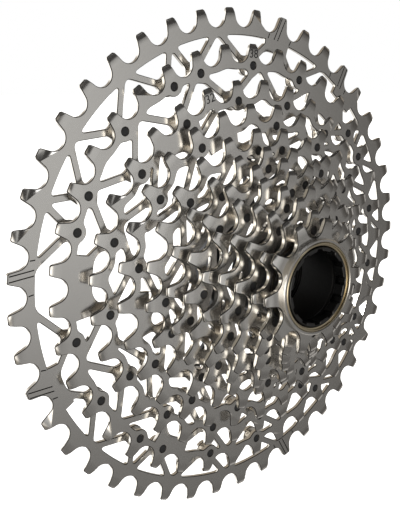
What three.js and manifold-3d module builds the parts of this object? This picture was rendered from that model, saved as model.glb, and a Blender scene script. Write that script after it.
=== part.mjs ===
// A twelve-speed bicycle cassette: twelve toothed sprockets held apart by riveted pins,
// on a splined carrier that the hub's driver turns, with a captive lock tube in the middle.
// Millimetres. The wheel's axle is the Y axis, with the small sprockets towards -Y.
// The origin is on the axle, at the hub-side end of the splined carrier.

import * as THREE from 'three';
import { mergeVertices } from 'three/addons/utils/BufferGeometryUtils.js';
import Module from 'manifold-3d';

const wasm = await Module();
wasm.setup();

// ---------- driving dimensions ----------

const CHAIN_PITCH = 12.7;
const ROLLER_SEAT = 3.95;        // radius of the hollow that a chain roller sits in
const TOOTH_HEIGHT = 2.5;        // tip above the pitch circle
const TOOTH_TIP = 3.3;           // width of the flat tip
const STEP = 3.65;               // from one sprocket to the next, along the axle
const PLATE = 1.7;               // thickness of a sprocket
const PIN_RADIUS = 1.9;
const PIN_SIDES = 6;
const NODE = 3.5;                // half-width of the eye around a pin
const SPOKE = 2.5;               // width of the truss spokes in the two largest sprockets
const ARC_STEP = 12;             // longest step, in degrees, along a round inner edge

const TUBE_OUTER = 13.6;
const TUBE_BORE = 12.2;
const TUBE_NOTCH = 13.0;         // outer radius of the tool notches
const TUBE_MOUTH = -41.5;
const TUBE_END = -12;
const NOTCH_COUNT = 12;
const NOTCH_WIDTH = 3.2;
const NOTCH_DEPTH = 4;
const SHOULDER_RADIUS = 14.9;    // the shoulder is trapped between the bush and the 11-tooth sprocket
const ROUND_SIDES = 32;

const BUSH_INNER = 14.0;
const BUSH_OUTER = 15.1;
const BUSH_FACE = -41.7;
const LIP_OUTER = 16.35;         // the lip of the smallest sprocket, around the bush
const LIP_FACE = -41.65;

const CARRIER_BORE = 17.0;
const CARRIER_KEY = 16.2;        // inner radius at the spline keys
const CARRIER_OUTER = 20.5;
const CARRIER_KEYS = 9;
const CARRIER_ARM = 5;
const CARRIER_PLATE = 1.9;

// Each sprocket, from the largest: teeth, the turn of its first tooth as a part of one tooth,
// the radius of its inner edge, the radius of its pins, and the teeth that have a pin below them.
const SPROCKETS = [
  { teeth: 44, turn: 0.307, inner: 82.3, truss: true },
  { teeth: 38, turn: 0.20, inner: 69.8, truss: true, pinRadius: 72,
    pins: [1, 3, 4, 7, 9, 11, 12, 14, 16, 17, 20, 22, 24, 25, 27, 29, 32, 34, 35, 37] },
  { teeth: 32, turn: 0.53, inner: 57.8, pinRadius: 60.3, pins: everySecond(32) },
  { teeth: 28, turn: 0.27, inner: 49.5, pinRadius: 51.8,
    pins: [2, 4, 6, 9, 11, 13, 16, 18, 20, 23, 25, 27] },
  { teeth: 24, turn: 0.30, inner: 41.5, pinRadius: 43.5,
    pins: [0, 2, 3, 5, 6, 9, 12, 13, 15, 18, 19, 21] },
  { teeth: 21, turn: 0.43, inner: 35.4, pinRadius: 37.4, pins: [1, 3, 5, 7, 9, 11, 13, 15, 17, 19] },
  { teeth: 19, turn: 0.58, inner: 31.4, pinRadius: 33.3, pins: [1, 3, 5, 7, 9, 11, 13, 15, 17] },
  { teeth: 17, turn: 0.05, inner: 27.4, pinRadius: 29.5, pins: [0, 2, 4, 6, 8, 10, 12, 14] },
  { teeth: 15, turn: 0.10, inner: 23.4, pinRadius: 25.5, pins: [0, 2, 4, 6, 8, 10, 12] },
  { teeth: 13, turn: 0.30, inner: 19.6, pinRadius: 21.7, pins: [0, 2, 4, 6, 8, 10] },
  { teeth: 11, turn: 0.56, inner: 15.4, pinRadius: 18.2, pins: [0, 2, 4, 6, 8] },
  { teeth: 10, turn: 0.11, inner: 15.25, pinRadius: 17.4, pins: [1, 3, 5, 7, 9] },
];
const CARRIER_PINS = [0, 3, 6, 9, 12, 15, 18, 21];   // teeth of the 24 whose pins also hold the carrier
const LOOSE_PIN_SPROCKETS = [38, 32];                // sprockets whose pins are all pieces of their own
const SLIM_NODE = 2.5;                               // eye half-width on the smallest sprockets
const THRUST_LIP = 14.2;                             // bore of the 11, which the tube's shoulder pulls on

// ---------- materials ----------

const nickel = new THREE.MeshStandardMaterial({ color: 0x9b9690, roughness: 0.35, metalness: 1 });
const pinSteel = new THREE.MeshStandardMaterial({ color: 0xb9b2a8, roughness: 0.25, metalness: 1 });
const gold = new THREE.MeshStandardMaterial({ color: 0xb79a62, roughness: 0.3, metalness: 1 });
const black = new THREE.MeshStandardMaterial({ color: 0x121214, roughness: 0.4, metalness: 0.6 });
const darkAlloy = new THREE.MeshStandardMaterial({ color: 0x3a3a3c, roughness: 0.45, metalness: 0.8 });

// ---------- small helpers ----------

function everySecond(count) {
  return Array.from({ length: count / 2 }, (_, i) => 2 * i);
}

function radians(degrees) {
  return degrees * Math.PI / 180;
}

// A point given across and out along the ray at an angle.
function onRay(angle, out, across = 0) {
  return new THREE.Vector2(
    out * Math.cos(angle) - across * Math.sin(angle),
    out * Math.sin(angle) + across * Math.cos(angle));
}

function pitchRadius(teeth) {
  return CHAIN_PITCH / 2 / Math.sin(Math.PI / teeth);
}

function toothAngle(sprocket, index) {
  return (index + sprocket.turn) * 2 * Math.PI / sprocket.teeth;
}

function pinAngles(sprocket, indices = sprocket.pins) {
  return indices.map((index) => toothAngle(sprocket, index));
}

function outboardFace(level) {
  return -STEP * level;
}

// A flat shape made a slab across the axle, from y = low to y = high.
function slab(outline, holes, low, high) {
  const shape = new THREE.Shape(outline);
  for (const hole of holes) shape.holes.push(new THREE.Path(hole));
  const geometry = new THREE.ExtrudeGeometry(shape, { depth: high - low, bevelEnabled: false });
  geometry.rotateX(Math.PI / 2);
  geometry.translate(0, high, 0);
  return geometry;
}

function circle(radius, sides, centre = new THREE.Vector2(), turn = 0) {
  return Array.from({ length: sides }, (_, i) => {
    const angle = turn + i * 2 * Math.PI / sides;
    return centre.clone().add(onRay(angle, radius));
  });
}

function toSolid(geometry) {
  const bare = geometry.clone();
  bare.deleteAttribute('normal');
  bare.deleteAttribute('uv');
  const merged = mergeVertices(bare, 1e-4);
  return new wasm.Manifold(new wasm.Mesh({
    numProp: 3,
    vertProperties: new Float32Array(merged.attributes.position.array),
    triVerts: new Uint32Array(merged.index.array),
  }));
}

function toGeometry(solid) {
  const mesh = solid.getMesh();
  const geometry = new THREE.BufferGeometry();
  geometry.setAttribute('position', new THREE.BufferAttribute(mesh.vertProperties, 3));
  geometry.setIndex(new THREE.BufferAttribute(mesh.triVerts, 1));
  geometry.computeVertexNormals();
  return geometry;
}

function joined(geometries) {
  const solids = geometries.map(toSolid);
  return toGeometry(solids.reduce((sum, solid) => sum.add(solid)));
}

// ---------- the sprockets ----------

function toothedOutline(sprocket) {
  const pitch = pitchRadius(sprocket.teeth);
  const half = Math.PI / sprocket.teeth;
  const seatSide = radians(60);
  const points = [];
  for (let index = 0; index < sprocket.teeth; index += 1) {
    const tooth = toothAngle(sprocket, index);
    const seat = tooth - half;
    for (const swing of [-seatSide, 0, seatSide]) {
      const out = pitch - ROLLER_SEAT * Math.cos(swing);
      points.push(onRay(seat, out, ROLLER_SEAT * Math.sin(swing)));
    }
    for (const side of [-1, 1]) {
      points.push(onRay(tooth, pitch + TOOTH_HEIGHT, side * TOOTH_TIP / 2));
    }
  }
  return points;
}

// Angles of the rim between two eyes: round steps from the one to the other.
function roundSteps(from, to) {
  const count = Math.max(0, Math.floor((to - from) / radians(ARC_STEP)));
  return Array.from({ length: count }, (_, i) => from + (i + 1) * (to - from) / (count + 1));
}

function gapAfter(angles, i) {
  const next = i + 1 < angles.length ? angles[i + 1] : angles[0] + 2 * Math.PI;
  return next - angles[i];
}

// How far to the side of an eye its spoke meets the rim.
function spokeReach(gap, tooth) {
  return Math.min(gap / 2, tooth);
}

// The inner edge of a sprocket that carries the eyes for the next one's pins.
function innerEdge(sprocket, eyes, eyeRadius, node) {
  const points = [];
  const tooth = 2 * Math.PI / (sprocket.teeth - 6);
  eyes.forEach((eye, i) => {
    const gap = gapAfter(eyes, i);
    points.push(onRay(eye, eyeRadius, -node));
    points.push(onRay(eye, eyeRadius - node));
    points.push(onRay(eye, eyeRadius, node));
    if (sprocket.truss) {
      const reach = spokeReach(gap, tooth);
      points.push(onRay(eye + reach, sprocket.inner));
      if (gap - 2 * reach > 0.01) points.push(onRay(eye + gap - reach, sprocket.inner));
      return;
    }
    const flare = (node + 1.5) / sprocket.inner;
    if (gap < 2.4 * flare) return;
    points.push(onRay(eye + flare, sprocket.inner));
    for (const step of roundSteps(eye + flare, eye + gap - flare)) points.push(onRay(step, sprocket.inner));
    points.push(onRay(eye + gap - flare, sprocket.inner));
  });
  return points;
}

// The three-cornered window between an eye's two spokes and the rim.
function trussWindow(sprocket, eye, eyeRadius, leftReach, rightReach) {
  const corner = (reach, side) => {
    const slope = Math.atan2(sprocket.inner - eyeRadius, sprocket.inner * reach);
    const inset = SPOKE / Math.sin(slope) / sprocket.inner;
    return eye + side * Math.max(reach - inset, 0.02);
  };
  const left = corner(leftReach, -1);
  const right = corner(rightReach, 1);
  return [
    onRay(eye, eyeRadius + NODE),
    onRay(right, sprocket.inner),
    onRay((left + right) / 2, sprocket.inner),
    onRay(left, sprocket.inner),
  ];
}

function trussWindows(sprocket, eyes, eyeRadius) {
  const tooth = 2 * Math.PI / (sprocket.teeth - 6);
  return eyes.map((eye, i) => {
    const before = gapAfter(eyes, (i + eyes.length - 1) % eyes.length);
    const after = gapAfter(eyes, i);
    return trussWindow(sprocket, eye, eyeRadius, spokeReach(before, tooth), spokeReach(after, tooth));
  });
}

function pinBody(angle, radius, low, high) {
  return slab(circle(PIN_RADIUS, PIN_SIDES, onRay(angle, radius), angle), [], low, high);
}

function sprocketGeometry(level) {
  const sprocket = SPROCKETS[level];
  const smaller = SPROCKETS[level + 1];
  const low = outboardFace(level);
  const high = low + PLATE;
  if (!smaller || smaller.teeth === 10) {
    const bore = smaller ? THRUST_LIP : sprocket.inner;
    const plate = slab(toothedOutline(sprocket), [circle(bore, ROUND_SIDES)], low, high);
    if (smaller) return withBosses(plate, level);
    return joined([plate, ring(bore, LIP_OUTER, LIP_FACE, low + PLATE / 2)]);
  }
  const eyes = pinAngles(smaller);
  const node = smaller.teeth > 13 ? NODE : SLIM_NODE;
  const holes = [innerEdge(sprocket, eyes, smaller.pinRadius, node)];
  if (sprocket.truss) holes.push(...trussWindows(sprocket, eyes, smaller.pinRadius));
  const plate = slab(toothedOutline(sprocket), holes, low, high);
  return withBosses(plate, level);
}

// The teeth of a smaller sprocket whose pins are solid with the plate behind it.
function bossPins(sprocket) {
  if (LOOSE_PIN_SPROCKETS.includes(sprocket.teeth)) return [];
  if (sprocket.teeth === 24) return sprocket.pins.filter((pin) => !CARRIER_PINS.includes(pin));
  return sprocket.pins;
}

function withBosses(plate, level) {
  const smaller = SPROCKETS[level + 1];
  const face = outboardFace(level);
  const low = outboardFace(level + 1) + PLATE;
  const bosses = pinAngles(smaller, bossPins(smaller))
    .map((angle) => pinBody(angle, smaller.pinRadius, low, face + PLATE / 2));
  return bosses.length ? joined([plate, ...bosses]) : plate;
}

// ---------- the middle ----------

function ring(inner, outer, low, high) {
  const profile = [[inner, low], [outer, low], [outer, high], [inner, high], [inner, low]];
  return new THREE.LatheGeometry(profile.map(([r, y]) => new THREE.Vector2(r, y)), ROUND_SIDES);
}

function lockTubeGeometry() {
  const shoulderLow = outboardFace(SPROCKETS.length - 1) + PLATE + 0.35;
  const shoulderHigh = outboardFace(SPROCKETS.length - 2) - 0.1;
  const profile = [
    [TUBE_BORE, TUBE_MOUTH], [TUBE_OUTER, TUBE_MOUTH],
    [TUBE_OUTER, shoulderLow], [SHOULDER_RADIUS, shoulderLow],
    [SHOULDER_RADIUS, shoulderHigh], [TUBE_OUTER, shoulderHigh],
    [TUBE_OUTER, TUBE_END], [TUBE_BORE, TUBE_END], [TUBE_BORE, TUBE_MOUTH],
  ];
  const body = toSolid(new THREE.LatheGeometry(
    profile.map(([r, y]) => new THREE.Vector2(r, y)), ROUND_SIDES));
  const cutters = [];
  for (let notch = 0; notch < NOTCH_COUNT; notch += 1) {
    const angle = notch * 2 * Math.PI / NOTCH_COUNT;
    const corners = [[10, -1], [TUBE_NOTCH, -1], [TUBE_NOTCH, 1], [10, 1]]
      .map(([out, side]) => onRay(angle, out, side * NOTCH_WIDTH / 2));
    cutters.push(slab(corners, [], TUBE_MOUTH - 1, TUBE_MOUTH + NOTCH_DEPTH));
  }
  return toGeometry(cutters.reduce((solid, cutter) => solid.subtract(toSolid(cutter)), body));
}

function carrierGeometry() {
  const carried = SPROCKETS.find((sprocket) => sprocket.teeth === 24);
  const low = outboardFace(3) + PLATE;
  const high = low + CARRIER_PLATE;
  const reach = carried.pinRadius + 2.4;
  const star = [];
  for (const angle of pinAngles(carried, CARRIER_PINS)) {
    const root = CARRIER_OUTER + 1.5;
    star.push(onRay(angle, root, -CARRIER_ARM / 2), onRay(angle, reach, -CARRIER_ARM / 2));
    star.push(onRay(angle, reach, CARRIER_ARM / 2), onRay(angle, root, CARRIER_ARM / 2));
  }
  const bore = [];
  for (let key = 0; key < CARRIER_KEYS; key += 1) {
    const angle = key * 2 * Math.PI / CARRIER_KEYS;
    bore.push(onRay(angle - 0.26, CARRIER_BORE), onRay(angle - 0.1, CARRIER_BORE));
    bore.push(onRay(angle - 0.1, CARRIER_KEY), onRay(angle + 0.1, CARRIER_KEY));
    bore.push(onRay(angle + 0.1, CARRIER_BORE), onRay(angle + 0.26, CARRIER_BORE));
  }
  const hub = slab(circle(CARRIER_OUTER, ROUND_SIDES), [bore], low, 0);
  const spider = slab(star, [circle(CARRIER_OUTER - 1, ROUND_SIDES)], low, high);
  return joined([hub, spider]);
}

// ---------- the assembly ----------

function piece(name, geometry, material) {
  const mesh = new THREE.Mesh(geometry, material);
  mesh.name = name;
  return mesh;
}

// The pins that are pieces of their own stand between two neighbouring sprockets.
function loosePins(level, indices) {
  const sprocket = SPROCKETS[level];
  const low = outboardFace(level) + PLATE;
  const high = outboardFace(level - 1);
  return pinAngles(sprocket, indices).map((angle, i) => {
    const name = `pin_${sprocket.teeth}_${String(i + 1).padStart(2, '0')}`;
    return piece(name, pinBody(angle, sprocket.pinRadius, low, high), pinSteel);
  });
}

const cassette = new THREE.Group();
SPROCKETS.forEach((sprocket, level) => {
  cassette.add(piece(`sprocket_${sprocket.teeth}`, sprocketGeometry(level), nickel));
});
SPROCKETS.forEach((sprocket, level) => {
  if (LOOSE_PIN_SPROCKETS.includes(sprocket.teeth)) cassette.add(...loosePins(level, sprocket.pins));
  if (sprocket.teeth === 24) cassette.add(...loosePins(level, CARRIER_PINS));
});
cassette.add(piece('bush_ring', ring(BUSH_INNER, BUSH_OUTER, BUSH_FACE, outboardFace(11) + PLATE), gold));
cassette.add(piece('lock_tube', lockTubeGeometry(), black));
cassette.add(piece('spline_carrier', carrierGeometry(), darkAlloy));

export default cassette;
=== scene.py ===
# %% [markdown]
# # A twelve-speed bicycle cassette
# Twelve toothed sprockets stand one behind the other on a hub. Rings of rivet pins hold
# each one at its distance from the next. This lesson rebuilds every piece around the
# CAD frame, finely enough for a close look.

# %% The frame
import math

import bmesh
import bpy
import numpy as np
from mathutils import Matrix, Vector, geometry


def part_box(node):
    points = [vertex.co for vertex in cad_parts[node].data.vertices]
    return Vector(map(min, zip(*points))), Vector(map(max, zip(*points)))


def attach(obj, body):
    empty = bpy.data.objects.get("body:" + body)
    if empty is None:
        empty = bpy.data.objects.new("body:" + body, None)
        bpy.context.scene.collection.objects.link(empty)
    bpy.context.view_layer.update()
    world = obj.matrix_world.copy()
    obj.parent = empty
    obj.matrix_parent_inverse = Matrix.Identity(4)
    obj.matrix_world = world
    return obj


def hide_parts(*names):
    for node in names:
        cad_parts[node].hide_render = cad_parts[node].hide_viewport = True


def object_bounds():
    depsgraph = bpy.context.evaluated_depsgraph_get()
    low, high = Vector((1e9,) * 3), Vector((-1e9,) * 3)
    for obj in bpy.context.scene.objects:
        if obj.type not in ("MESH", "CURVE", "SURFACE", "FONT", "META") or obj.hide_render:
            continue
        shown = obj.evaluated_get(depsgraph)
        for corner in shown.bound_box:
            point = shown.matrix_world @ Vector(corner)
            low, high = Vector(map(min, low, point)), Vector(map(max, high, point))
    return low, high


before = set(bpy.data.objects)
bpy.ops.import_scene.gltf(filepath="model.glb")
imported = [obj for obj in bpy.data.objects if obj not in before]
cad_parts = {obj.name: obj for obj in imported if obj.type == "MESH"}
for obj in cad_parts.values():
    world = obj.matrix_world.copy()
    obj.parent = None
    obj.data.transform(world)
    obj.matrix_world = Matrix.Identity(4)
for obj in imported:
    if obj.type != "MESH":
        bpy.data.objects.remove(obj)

MM = 0.001
cad_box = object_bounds()
print("CAD box", cad_box)

# %% [markdown]
# ## Driving dimensions
# A chain decides nearly everything on a sprocket. Its rollers are 12.7 mm apart, so the
# pitch radius follows from the number of teeth, and the hollow between two teeth is as
# wide as a roller. The places along the axle come from the frame's own boxes.

# %% Driving dimensions, in millimetres
CHAIN_PITCH = 12.7
ROLLER_SEAT = 3.95
TOOTH_HEIGHT = 2.5
TOOTH_TIP = 3.3
EDGE = 0.24  # chamfer along every cut edge
PIN_SHANK = 1.9
SLIM_SHANK = 1.6  # on the 13 and smaller, where there is less room
RIVET = 1.25
RING_SIDES = 96  # of a plain round hole through a plate

# Each sprocket, from the largest: its teeth, the turn of its first tooth as a part of one
# tooth, the radius of its inner edge and how far that rises under a tooth. Then the width of
# its spokes, the radius of the eyes at their ends and of the eyes round its own pins, and
# the circle and the teeth that its own pins stand on. Gates are spans of teeth with a deeper
# ribbon, and how much deeper. Scoops are teeth with one deeply sunk flank. Ramps are teeth
# with grooves, by their lean: the millimetres a groove moves sideways while it rises by one.
# The lock tube's shoulder pulls on the inner edge of the 11.
SPROCKETS = [
    dict(teeth=44, turn=0.307, inner=82.3, truss=2.3, eye=3.5,
         gates=[(4.9, 6.0, 3), (8.6, 9.6, 4), (23.6, 25.0, 3.5)],
         scoops=[5, 10, 18, 19, 20, 25, 40],
         ramps={6: -0.2, 9: 0.25, 21: -0.2, 24: 0.3, 35: -0.2}),
    dict(teeth=38, turn=0.20, inner=70.6, rise=0.6, truss=2.4, eye=3.4, own_eye=3.3,
         gates=[(4.6, 6.4, 4), (17.6, 19.4, 6.5), (24.6, 25.9, 4)],
         scoops=[2, 13, 23, 30], pin_radius=72,
         pins=[1, 3, 4, 7, 9, 11, 12, 14, 16, 17, 20, 22, 24, 25, 27, 29, 32, 34, 35, 37]),
    dict(teeth=32, turn=0.53, inner=58.6, rise=1.8, truss=2.4, eye=3.3, own_eye=3.3,
         gates=[(9.6, 11.2, 4), (21.6, 23.0, 4)], scoops=[4, 13, 24],
         pin_radius=60.3, pins=list(range(0, 32, 2))),
    dict(teeth=28, turn=0.27, inner=50.4, rise=1.8, truss=2.4, eye=3.2, own_eye=3.2,
         gates=[(7.6, 8.8, 3), (13.7, 15.0, 3)], scoops=[12, 20],
         pin_radius=51.8, pins=[2, 4, 6, 9, 11, 13, 16, 18, 20, 23, 25, 27]),
    dict(teeth=24, turn=0.30, inner=42.4, rise=1.7, truss=2.6, eye=3.1, own_eye=3.1,
         pin_radius=43.5, pins=[0, 2, 3, 5, 6, 9, 12, 13, 15, 18, 19, 21]),
    dict(teeth=21, turn=0.43, inner=36.2, rise=1.5, truss=2.6, eye=3.0, own_eye=3.0,
         pin_radius=37.4, pins=list(range(1, 20, 2))),
    dict(teeth=19, turn=0.58, inner=32.2, rise=1.4, truss=2.6, eye=2.9, own_eye=2.9,
         pin_radius=33.3, pins=list(range(1, 18, 2))),
    dict(teeth=17, turn=0.05, inner=28.2, rise=1.3, truss=2.6, eye=2.8, own_eye=2.8,
         pin_radius=29.5, pins=list(range(0, 15, 2))),
    dict(teeth=15, turn=0.10, inner=24.2, rise=1.2, truss=2.6, eye=2.7, own_eye=2.7,
         pin_radius=25.5, pins=list(range(0, 13, 2))),
    dict(teeth=13, turn=0.30, inner=20.2, rise=1.0, truss=2.6, eye=2.5, own_eye=2.5,
         pin_radius=21.7, pins=list(range(0, 11, 2))),
    dict(teeth=11, turn=0.56, inner=14.2, pin_radius=18.2, pins=list(range(0, 9, 2))),
    dict(teeth=10, turn=0.11, inner=15.25, pin_radius=17.4, pins=list(range(1, 10, 2)),
         riveted=False),
]


def node_span(node):
    """The lowest and highest y of a CAD node, in millimetres."""
    low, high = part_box(node)
    return low[1] / MM, high[1] / MM


largest_span = node_span("sprocket_44")
PLATE = largest_span[1] - largest_span[0]
for sprocket in SPROCKETS:
    sprocket["face"] = node_span(f"sprocket_{sprocket['teeth']}")[1] - PLATE
    sprocket["pitch"] = CHAIN_PITCH / 2 / math.sin(math.pi / sprocket["teeth"])
print("plate", round(PLATE, 2), "faces", [round(s["face"], 2) for s in SPROCKETS])

# %% [markdown]
# ## Drawing in the plane of a plate
# A sprocket is stamped from sheet, so its shape is a flat outline with holes. All outlines
# are drawn as points in the plane of the plate, by angle and radius around the axle.
# Sharp corners are then rounded with short curves, as a cutter leaves them.

# %% Points by angle and radius
LONGEST_REACH = 0.48  # a rounded corner takes at most this part of each edge


def on_ray(angle, out, across=0.0):
    cos, sin = math.cos(angle), math.sin(angle)
    return Vector((out * cos - across * sin, out * sin + across * cos))


def circle(radius, sides, centre=(0, 0)):
    middle = Vector(centre)
    return [middle + on_ray(2 * math.pi * i / sides, radius) for i in range(sides)]


def rounded(corners, radius, steps=4):
    """Replace each corner of a closed outline by a short curve."""
    points = []
    count = len(corners)
    for i, corner in enumerate(corners):
        before = corners[i - 1] - corner
        after = corners[(i + 1) % count] - corner
        reach_before = min(radius, before.length * LONGEST_REACH)
        reach_after = min(radius, after.length * LONGEST_REACH)
        start = corner + before.normalized() * reach_before
        end = corner + after.normalized() * reach_after
        for k in range(steps + 1):
            t = k / steps
            points.append(start * (1 - t) ** 2 + corner * 2 * t * (1 - t) + end * t ** 2)
    return points


def tooth_angle(sprocket, index):
    return (index + sprocket["turn"]) * 2 * math.pi / sprocket["teeth"]


def pin_angles(sprocket, indices=None):
    chosen = sprocket["pins"] if indices is None else indices
    return [tooth_angle(sprocket, index) for index in chosen]


# %% [markdown]
# ## The teeth
# Between two teeth lies a round seat for the chain's roller. The flanks rise from the seat
# to a narrow flat tip. The tip is thinner than the plate, so that it slips between the
# chain's side plates: a crease crosses each face of a tooth, and above it the face sinks.

# %% One seat and one tooth
SEAT_SWING = math.radians(66)
SEAT_POINTS = 17
FLANK_STEPS = (0.55, 0.88)  # places between the seat's end and the corner of the tip
TIP_ROUND = 0.4
TIP_SINK = 0.5  # how far a face has sunk at the tip
HIGH_SINK = 0.7  # the part of that which it has sunk at the upper flank
SCOOP_SINK = 0.62  # how far a scooped tooth's first flank is sunk
SCOOP_START = 0.63  # where on the seat a scoop begins, as a part of its swing
SCOOP_POINT = int((1 + SCOOP_START) / 2 * (SEAT_POINTS - 1))


def seat_points(sprocket, index, scooped):
    """The round seat before a tooth, as points and how far each is sunk."""
    middle = tooth_angle(sprocket, index) - math.pi / sprocket["teeth"]
    made = []
    for k in range(SEAT_POINTS):
        part = 2 * k / (SEAT_POINTS - 1) - 1
        swing = SEAT_SWING * part
        point = on_ray(middle, sprocket["pitch"] - ROLLER_SEAT * math.cos(swing),
                       ROLLER_SEAT * math.sin(swing))
        rise = max(0.0, part - SCOOP_START) / (1 - SCOOP_START)
        made.append((point, SCOOP_SINK * rise if scooped else 0.0))
    return made


def flank(sprocket, index, side):
    """Two places on a flank, the lower one first."""
    tooth = tooth_angle(sprocket, index)
    foot = on_ray(tooth + side * math.pi / sprocket["teeth"],
                  sprocket["pitch"] - ROLLER_SEAT * math.cos(SEAT_SWING),
                  -side * ROLLER_SEAT * math.sin(SEAT_SWING))
    corner = on_ray(tooth, sprocket["pitch"] + TOOTH_HEIGHT, side * TOOTH_TIP / 2)
    return [foot.lerp(corner, step) for step in FLANK_STEPS]


def tooth_points(sprocket, index, scooped, tip_sink):
    """Up one flank, over the tip and down the other, as points and how far each is sunk."""
    tooth = tooth_angle(sprocket, index)
    tip_out = sprocket["pitch"] + TOOTH_HEIGHT
    half_tip = TOOTH_TIP / 2 - TIP_ROUND
    up_low, up_high = flank(sprocket, index, -1)
    down_low, down_high = flank(sprocket, index, 1)
    return [(up_low, SCOOP_SINK if scooped else 0.0),
            (up_high, SCOOP_SINK if scooped else tip_sink * HIGH_SINK),
            (on_ray(tooth, tip_out, -half_tip), SCOOP_SINK if scooped else tip_sink),
            (on_ray(tooth, tip_out, half_tip), tip_sink),
            (down_high, tip_sink * HIGH_SINK),
            (down_low, 0.0)]


# %% A toothed outline with its crease lines
def toothed_outline(sprocket):
    """Points round the teeth, how far each is sunk, and pairs of points joined by creases."""
    made, creases = [], []
    for index in range(sprocket["teeth"]):
        scooped = index in sprocket.get("scoops", [])
        tip_sink = 0.0 if index in sprocket.get("ramps", {}) else TIP_SINK
        crease_start = len(made) + (SCOOP_POINT if scooped else SEAT_POINTS)
        made += seat_points(sprocket, index, scooped)
        made += tooth_points(sprocket, index, scooped, tip_sink)
        if tip_sink:
            creases.append((crease_start, len(made) - 1))
    return [point for point, sink in made], [sink for point, sink in made], creases


# %% [markdown]
# ## The ribbon, the eyes and the spokes
# The metal that isn't needed is cut away. What stays is a ribbon under the teeth, an eye
# around each pin, and slim spokes that carry the next sprocket's eyes, two to an eye, as in
# a truss. A milled part has a fillet wherever two of these meet. So the shape is written as
# a field: how deep a point lies inside a disc, a bar or the ribbon. A soft maximum joins
# them, fillets included, and the line where the field is zero is the edge to cut.

# %% Depths and how they join
FILLET = 1.5


def soft_join(first, second):
    """The larger of two depths, rounded where they meet."""
    mix = np.clip(0.5 + 0.5 * (first - second) / FILLET, 0, 1)
    return second * (1 - mix) + first * mix + FILLET * mix * (1 - mix)


def disc_depth(x, z, centre, radius):
    return radius - np.hypot(x - centre.x, z - centre.y)


def bar_depth(x, z, start, end, width):
    along = end - start
    place = ((x - start.x) * along.x + (z - start.y) * along.y) / along.length_squared
    place = np.clip(place, 0, 1)
    return width / 2 - np.hypot(x - start.x - place * along.x, z - start.y - place * along.y)


# %% The field of the metal inside a sprocket
SPOKE_FOOT = 1.2  # how deep a spoke runs into the ribbon
SPOKE_SHARE = 0.47  # the largest part of the gap between two eyes that it spans
WAVE_SHARPNESS = 1.5  # above one, the rises of the inner edge are narrower than its dips


def ribbon_depth(sprocket, radius, angle):
    """Depth inside the ribbon under the teeth, which thins out below each tooth."""
    wave = 0.5 + 0.5 * np.cos(sprocket["teeth"] * angle - 2 * math.pi * sprocket["turn"])
    edge = sprocket["inner"] + sprocket.get("rise", 0) * wave ** WAVE_SHARPNESS
    for first, last, drop in sprocket.get("gates", []):
        start, end = tooth_angle(sprocket, first), tooth_angle(sprocket, last)
        within = np.cos(angle - (start + end) / 2) > math.cos((end - start) / 2)
        edge = np.where(within, sprocket["inner"] - drop, edge)
    return radius - edge


def gap_after(angles, i):
    following = angles[(i + 1) % len(angles)]
    return (following - angles[i]) % (2 * math.pi)


def spoke_reach(sprocket, gap):
    """The angle from an eye to its spoke's foot, at most a little more than one tooth."""
    return min(gap * SPOKE_SHARE, 2 * math.pi / (sprocket["teeth"] - 6))


def metal_depth(sprocket, smaller, radius, angle):
    x, z = radius * np.cos(angle), radius * np.sin(angle)
    depth = ribbon_depth(sprocket, radius, angle)
    for own in pin_angles(sprocket) if "pins" in sprocket else []:
        centre = on_ray(own, sprocket["pin_radius"])
        depth = soft_join(depth, disc_depth(x, z, centre, sprocket["own_eye"]))
    eyes = pin_angles(smaller)
    for i, eye in enumerate(eyes):
        centre = on_ray(eye, smaller["pin_radius"])
        depth = soft_join(depth, disc_depth(x, z, centre, sprocket["eye"]))
        for gap, side in ((gap_after(eyes, i - 1), -1), (gap_after(eyes, i), 1)):
            foot = on_ray(eye + side * spoke_reach(sprocket, gap), sprocket["inner"] + SPOKE_FOOT)
            depth = soft_join(depth, bar_depth(x, z, centre, foot, sprocket["truss"]))
    return depth


# %% The zero line in one cell of a grid
FIELD_STEP = 0.34  # spacing of the samples, in millimetres
GRID_BELOW = 1.5  # how far the grid reaches past the eyes and past the inner edge
GRID_ABOVE = 1.0
FEWEST_CROSSINGS = 12  # shorter lines are specks of the grid, not holes


def field_grid(sprocket, smaller):
    """Radii and angles of the rings and rays that cover the inside of a sprocket."""
    low = smaller["pin_radius"] - sprocket["eye"] - GRID_BELOW
    high = sprocket["inner"] + sprocket.get("rise", 0) + GRID_ABOVE
    rings = int((high - low) / FIELD_STEP) + 2
    rays = int(2 * math.pi * high / FIELD_STEP)
    return np.linspace(low, high, rings), np.arange(rays) * 2 * math.pi / rays


def join_crossings(inside, i, j, rays, neighbours):
    """Link the places where the zero line enters and leaves one cell of the grid."""
    right = (j + 1) % rays
    crossings = []
    if inside[i, j] != inside[i, right]:
        crossings.append((i, j, 0))
    if inside[i, right] != inside[i + 1, right]:
        crossings.append((i, right, 1))
    if inside[i + 1, j] != inside[i + 1, right]:
        crossings.append((i + 1, j, 0))
    if inside[i, j] != inside[i + 1, j]:
        crossings.append((i, j, 1))
    for first, second in zip(crossings[::2], crossings[1::2]):
        neighbours.setdefault(first, []).append(second)
        neighbours.setdefault(second, []).append(first)


def chain_up(neighbours):
    """Follow the links from place to place, one closed line after another."""
    lines = []
    left = set(neighbours)
    while left:
        start = min(left)
        line = [start]
        left.remove(start)
        while True:
            onward = [n for n in neighbours[line[-1]] if n in left]
            if not onward:
                break
            line.append(onward[0])
            left.remove(onward[0])
        lines.append(line)
    return lines


# %% Following the zero line round the axle
THIN_WITHIN = 0.012  # how far a dropped point may lie from the line that replaces it
LONGEST_CHORD = 3


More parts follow.
